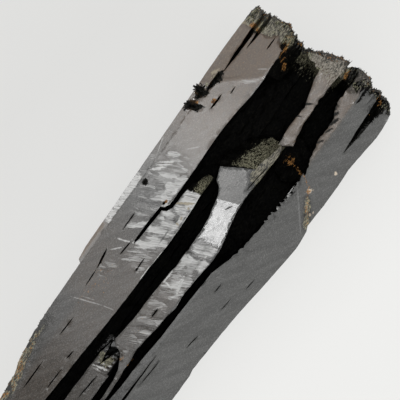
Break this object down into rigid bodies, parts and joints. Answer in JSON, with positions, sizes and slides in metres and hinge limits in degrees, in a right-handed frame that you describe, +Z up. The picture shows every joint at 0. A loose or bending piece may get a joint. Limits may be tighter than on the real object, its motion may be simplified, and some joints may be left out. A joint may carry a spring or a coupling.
{
  "type": "aegirine crystal",
  "caption": "Elongated dark aegirine crystal, a parallel-grown group of grooved prisms with an etched termination and a broken base, lying on its back face as a loose mineral specimen",
  "frame": {"origin": "middle of the bounding box's bottom, on the face the crystal rests on", "axes": "+X along the long c axis towards the etched termination, +Y towards the left prism as seen from the front, +Z up, away from the resting face"},
  "size_m": [0.1194, 0.0358, 0.0258],
  "materials": {
    "aegirine": "glassy to silky crystal faces, etched termination"
  },
  "bodies": {
    "root": {"aegirine_crystal": "aegirine"}
  },
  "joints": []
}
